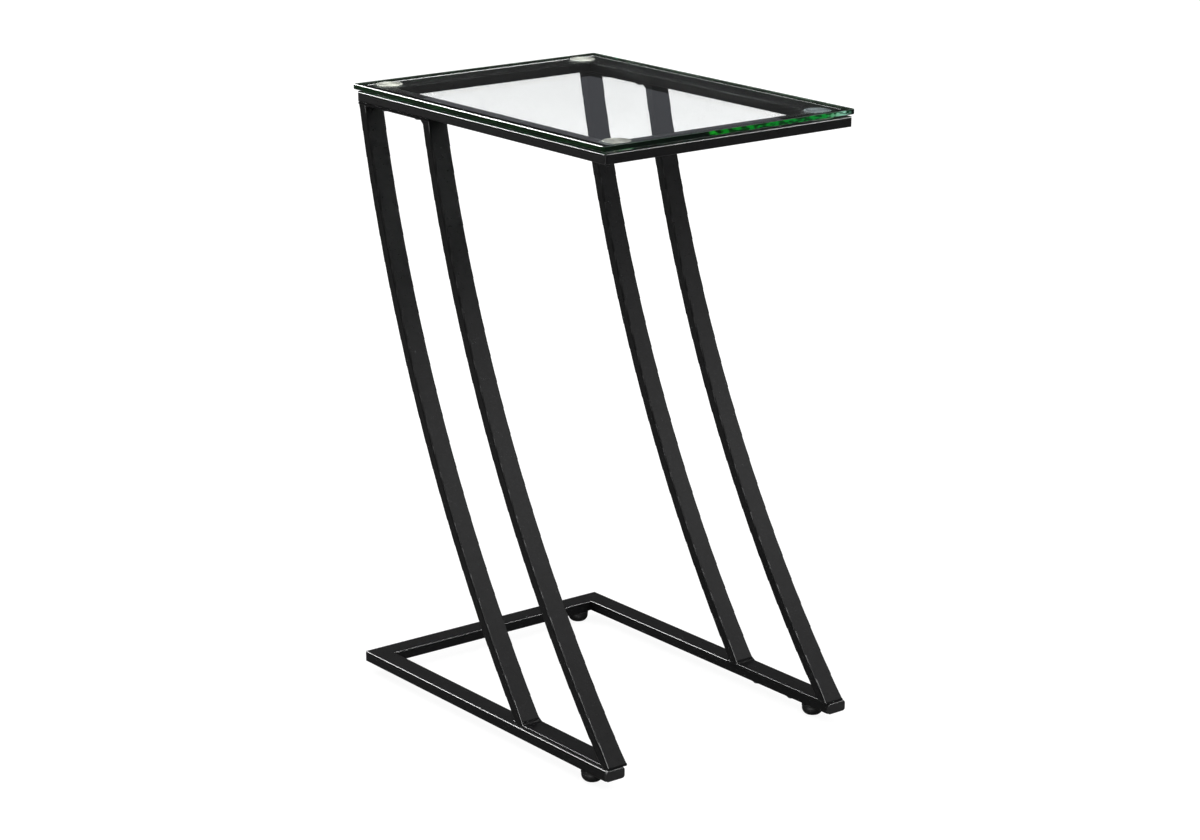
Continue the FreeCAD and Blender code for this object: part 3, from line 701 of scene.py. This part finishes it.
def add_softbox(name, direction, distance, size, power):
    """A rectangular soft light that faces the middle of the table and isn't mirrored in it."""
    lamp = bpy.data.objects.new(name, bpy.data.lights.new(name, "AREA"))
    lamp.data.shape = "RECTANGLE"
    lamp.data.size, lamp.data.size_y = size
    lamp.data.energy = power
    lamp.visible_glossy = False
    bpy.context.scene.collection.objects.link(lamp)
    middle = Vector((0, 0, cad_box[1][2] / 2))
    aim_at(lamp, middle + Vector(direction).normalized() * distance, middle)
    return lamp


def add_gloss_strip(name, direction, distance, size, power):
    """A strip that only shows in reflections, for the bright lines along the tube's edges."""
    strip = add_softbox(name, direction, distance, size, power)
    strip.visible_diffuse = False
    strip.visible_camera = False
    strip.visible_transmission = False
    strip.visible_glossy = True
    return strip


def flag_off(lamp, lit):
    """Keeps a lamp's light on the given pieces alone, as flags do in a studio."""
    receivers = bpy.data.collections.new(lamp.name + "_receivers")
    for piece in lit:
        receivers.objects.link(piece)
    lamp.light_linking.receiver_collection = receivers


def add_world():
    """White where the camera looks and behind the glass; for reflections a soft studio, dark near
    the floor and at the rear, and for matt surfaces an even grey fill."""
    world = bpy.data.worlds.new("studio")
    world.use_nodes = True
    tree = world.node_tree
    tree.nodes.clear()
    path = add(tree, "ShaderNodeLightPath")
    backdrop = backdrop_seen(tree)
    heading = add(tree, "ShaderNodeTexCoord").outputs["Generated"]
    axes = add(tree, "ShaderNodeSeparateXYZ", inputs={"Vector": heading})
    level = add(tree, "ShaderNodeMapRange", inputs={
        "Value": axes.outputs["Y"], "From Min": STUDIO_FRONT, "From Max": STUDIO_REAR,
        "To Min": STUDIO_LEVEL, "To Max": STUDIO_LEVEL * REAR_SHARE}).outputs["Result"]
    shape = ramp(tree, axes.outputs["Z"], STUDIO_BY_HEIGHT)
    studio = add(tree, "ShaderNodeVectorMath", {"operation": "SCALE"}, {
        0: shape, "Scale": level}).outputs[0]
    fill = add(tree, "ShaderNodeMix", {"data_type": "RGBA"}, {
        "Factor": path.outputs["Is Diffuse Ray"], "A": studio, "B": FILL_GREY}).outputs["Result"]
    hidden = math_node(tree, "LESS_THAN", backdrop, BACKDROP_ABOVE)
    rest = add(tree, "ShaderNodeVectorMath", {"operation": "SCALE"}, {
        0: fill, "Scale": hidden}).outputs[0]
    seen = add(tree, "ShaderNodeVectorMath", {"operation": "ADD"}, {
        0: rest, 1: backdrop}).outputs[0]
    background = add(tree, "ShaderNodeBackground", inputs={"Color": seen, "Strength": 1.0})
    add(tree, "ShaderNodeOutputWorld", inputs={"Surface": background.outputs[0]})
    bpy.context.scene.world = world


def add_veil_card():
    """A dim card above the glass, where the eye sees it mirrored in the middle of the pane, inside
    the rails: it greys what lies under the glass there a little."""
    eye = bpy.context.scene.camera.location
    rail_low, rail_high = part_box("top_rail_left")
    rail_width = rail_high.x - rail_low.x
    inner = abs(rail_high.x)
    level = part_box("glass_top")[1].z

    def seen_at(x, y, z):
        """Where the line of sight to a point under the glass crosses the top of the glass."""
        share = (level - z) / (eye.z - z)
        return x + (eye.x - x) * share, y + (eye.y - y) * share

    left, front = seen_at(-inner, rail_low.y + rail_width, rail_high.z)
    right, rear = seen_at(inner, rail_high.y - rail_width, rail_low.z)
    reach = VEIL_HEIGHT / (eye.z - level)
    bm = bmesh.new()
    bm.faces.new([
        bm.verts.new((x + (x - eye.x) * reach, y + (y - eye.y) * reach, level + VEIL_HEIGHT))
        for x, y in ((left, front), (right, front), (right, rear), (left, rear))])
    material, tree = empty_material("veil_card")
    glow = add(tree, "ShaderNodeEmission", inputs={
        "Color": linear(VEIL_TINT), "Strength": VEIL_LEVEL})
    finish_material(tree, glow.outputs[0])
    card = object_from(bm, "veil_card", [material])
    for kind in ("camera", "diffuse", "transmission", "volume_scatter", "shadow"):
        setattr(card, "visible_" + kind, False)


def add_floor():
    bm = bmesh.new()
    bmesh.ops.create_circle(bm, cap_ends=True, radius=FLOOR_RADIUS, segments=FLOOR_STEPS)
    floor = object_from(bm, "floor", [pale_floor()])


# =================================================================================== dressing
def dress(node, material):
    """Gives every material slot of a CAD node the same finish."""
    mesh = nodes[node].data
    if not mesh.materials:
        mesh.materials.append(material)
    for slot in nodes[node].material_slots:
        slot.material = material


add_camera()
add_world()
add_floor()
add_veil_card()
for name, made_so in SOFTBOXES.items():
    add_softbox(name, *made_so)
strips = {name: add_gloss_strip(name, *made_so) for name, made_so in GLOSS_STRIPS.items()}

coat = satin_powder_coat()
plastic = moulded_polyethylene()
zinc = bright_zinc()
finish_of = {"black_powder_coat": coat, "black_plastic": plastic, "zinc_plated_steel": zinc}
for part in frame["record"]["subparts"]:
    if part["material_slot"] in finish_of:
        dress(part["node"], finish_of[part["material_slot"]])
for place in PLACES:
    node = "glass_disc_" + place
    low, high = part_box(node)
    # each disc gets the painted light and shade of its place
    painted_light_tones = DISC_PAINTED_LIGHT_TONES["rear" if place.startswith("rear") else place]
    at_front = place.startswith("front")
    dress(node, turned_steel("turned_steel_" + place, (low + high) / 2, at_front, painted_light_tones))

pane = glass_pane([clear_float_glass(), painted_light_glass_edge(), painted_shade_glass_edge(), ground_glass_arris(),
                   painted_shade_glass_rim()])
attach(pane, FRAME_BODY)
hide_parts("glass_top")

for place in PLACES:
    stud = threaded_stud(place)
    stud.data.materials.append(zinc)
    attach(stud, "glide_" + place)
    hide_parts("glide_stud_" + place)

ripples = weld_ripples(coat)
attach(ripples, FRAME_BODY)

for strip, lit_names in LIT_BY.items():
    lit = [made for name, made in nodes.items() if name.startswith(lit_names)]
    flag_off(strips[strip], lit + ([pane] if strip == "rear_high_strip" else []))

bpy.context.scene.view_settings.view_transform = "Standard"
